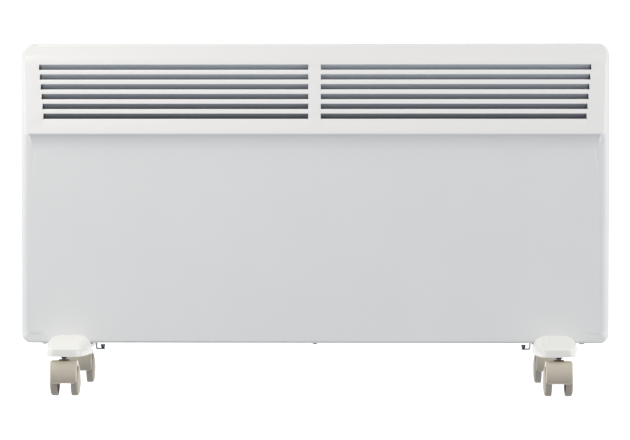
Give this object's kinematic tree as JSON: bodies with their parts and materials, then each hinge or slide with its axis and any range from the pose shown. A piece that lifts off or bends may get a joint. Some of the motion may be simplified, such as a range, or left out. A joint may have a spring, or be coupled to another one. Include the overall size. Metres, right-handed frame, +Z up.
{
  "type": "panel convector heater",
  "caption": "Long flat white convector heater with louvred upper front, rounded corners and two moulded feet on swivelling twin-wheel casters.",
  "frame": {"origin": "on the floor, under the middle of the heater's overall box", "axes": "+Z up, +X along the panel's width towards the controls, -Y out of the front face"},
  "size_m": [0.83, 0.2484, 0.4927],
  "materials": {
    "white_paint": "satin white powder coat",
    "white_plastic": "smooth warm-white moulding",
    "beige_plastic": "smooth beige-grey moulding",
    "grey_tread": "grey-brown wheel moulding",
    "dark_steel": "dark plated steel",
    "zinc_steel": "zinc-coated sheet",
    "turned_steel": "turned steel",
    "cast_aluminium": "cast aluminium",
    "ceramic": "unglazed ceramic",
    "grey_plastic": "fine-textured moulding",
    "black_plastic": "black moulding",
    "brown_wire": "brown insulation",
    "blue_wire": "blue insulation",
    "green_yellow_wire": "green and yellow insulation",
    "black_wire": "black insulation"
  },
  "bodies": {
    "heater": {"front_panel": "white_paint", "rear_case": "white_paint", "bottom_screw_1": "dark_steel", "bottom_screw_2": "dark_steel", "bottom_screw_3": "dark_steel", "bottom_screw_4": "dark_steel", "bottom_screw_5": "dark_steel", "left_latch": "zinc_steel", "left_latch_screw": "dark_steel", "right_latch": "zinc_steel", "right_latch_screw": "dark_steel", "element_body": "cast_aluminium", "element_rod": "turned_steel", "element_bracket_left": "zinc_steel", "element_bracket_right": "zinc_steel", "element_bush_left": "ceramic", "element_bush_right": "ceramic", "heat_shield": "zinc_steel", "air_guide": "zinc_steel", "control_partition": "zinc_steel", "control_fascia": "grey_plastic", "thermostat_body": "black_plastic", "high_switch_body": "black_plastic", "low_switch_body": "black_plastic", "terminal_block": "white_plastic", "cord_gland": "black_plastic", "thermal_cutout": "black_plastic", "live_wire": "brown_wire", "earth_wire": "green_yellow_wire", "neutral_wire": "blue_wire", "switched_wire": "black_wire", "element_lead": "black_wire", "left_foot": "white_plastic", "left_foot_screw": "dark_steel", "right_foot": "white_plastic", "right_foot_screw": "dark_steel", "front_left_stem": "dark_steel", "rear_left_stem": "dark_steel", "front_right_stem": "dark_steel", "rear_right_stem": "dark_steel"},
    "thermostat": {"thermostat_shaft": "turned_steel", "thermostat_knob": "white_plastic"},
    "high_rocker": {"high_switch_rocker": "white_plastic"},
    "low_rocker": {"low_switch_rocker": "white_plastic"},
    "front_left_swivel": {"front_left_hood": "beige_plastic", "front_left_axle": "turned_steel"},
    "front_left_roller_a": {"front_left_wheel_a": "grey_tread"},
    "front_left_roller_b": {"front_left_wheel_b": "grey_tread"},
    "rear_left_swivel": {"rear_left_hood": "beige_plastic", "rear_left_axle": "turned_steel"},
    "rear_left_roller_a": {"rear_left_wheel_a": "grey_tread"},
    "rear_left_roller_b": {"rear_left_wheel_b": "grey_tread"},
    "front_right_swivel": {"front_right_hood": "beige_plastic", "front_right_axle": "turned_steel"},
    "front_right_roller_a": {"front_right_wheel_a": "grey_tread"},
    "front_right_roller_b": {"front_right_wheel_b": "grey_tread"},
    "rear_right_swivel": {"rear_right_hood": "beige_plastic", "rear_right_axle": "turned_steel"},
    "rear_right_roller_a": {"rear_right_wheel_a": "grey_tread"},
    "rear_right_roller_b": {"rear_right_wheel_b": "grey_tread"}
  },
  "joints": [
    {"name": "thermostat_turn", "type": "hinge", "parent": "heater", "child": "thermostat", "pos_m": [0.4021, 0.02182, 0.2407], "axis": [-1, 0, 0], "range_deg": [0, 270]},
    {"name": "high_rocker_tip", "type": "hinge", "parent": "heater", "child": "high_rocker", "pos_m": [0.4023, 0.02182, 0.1867], "axis": [0, -1, 0], "range_deg": [0, 14]},
    {"name": "low_rocker_tip", "type": "hinge", "parent": "heater", "child": "low_rocker", "pos_m": [0.4023, 0.02182, 0.1527], "axis": [0, -1, 0], "range_deg": [0, 14]},
    {"name": "front_left_swivel", "type": "hinge", "parent": "heater", "child": "front_left_swivel", "pos_m": [-0.3478, -0.10218, 0.05], "axis": [0, 0, 1], "continuous": true},
    {"name": "front_left_roll_a", "type": "hinge", "parent": "front_left_swivel", "child": "front_left_roller_a", "pos_m": [-0.3478, -0.08818, 0.02], "axis": [1, 0, 0], "continuous": true},
    {"name": "front_left_roll_b", "type": "hinge", "parent": "front_left_swivel", "child": "front_left_roller_b", "pos_m": [-0.3478, -0.08818, 0.02], "axis": [1, 0, 0], "continuous": true},
    {"name": "rear_left_swivel", "type": "hinge", "parent": "heater", "child": "rear_left_swivel", "pos_m": [-0.3478, 0.08782, 0.05], "axis": [0, 0, 1], "continuous": true},
    {"name": "rear_left_roll_a", "type": "hinge", "parent": "rear_left_swivel", "child": "rear_left_roller_a", "pos_m": [-0.3478, 0.10182, 0.02], "axis": [1, 0, 0], "continuous": true},
    {"name": "rear_left_roll_b", "type": "hinge", "parent": "rear_left_swivel", "child": "rear_left_roller_b", "pos_m": [-0.3478, 0.10182, 0.02], "axis": [1, 0, 0], "continuous": true},
    {"name": "front_right_swivel", "type": "hinge", "parent": "heater", "child": "front_right_swivel", "pos_m": [0.3398, -0.10218, 0.05], "axis": [0, 0, 1], "continuous": true},
    {"name": "front_right_roll_a", "type": "hinge", "parent": "front_right_swivel", "child": "front_right_roller_a", "pos_m": [0.3398, -0.08818, 0.02], "axis": [1, 0, 0], "continuous": true},
    {"name": "front_right_roll_b", "type": "hinge", "parent": "front_right_swivel", "child": "front_right_roller_b", "pos_m": [0.3398, -0.08818, 0.02], "axis": [1, 0, 0], "continuous": true},
    {"name": "rear_right_swivel", "type": "hinge", "parent": "heater", "child": "rear_right_swivel", "pos_m": [0.3398, 0.08782, 0.05], "axis": [0, 0, 1], "continuous": true},
    {"name": "rear_right_roll_a", "type": "hinge", "parent": "rear_right_swivel", "child": "rear_right_roller_a", "pos_m": [0.3398, 0.10182, 0.02], "axis": [1, 0, 0], "continuous": true},
    {"name": "rear_right_roll_b", "type": "hinge", "parent": "rear_right_swivel", "child": "rear_right_roller_b", "pos_m": [0.3398, 0.10182, 0.02], "axis": [1, 0, 0], "continuous": true}
  ]
}
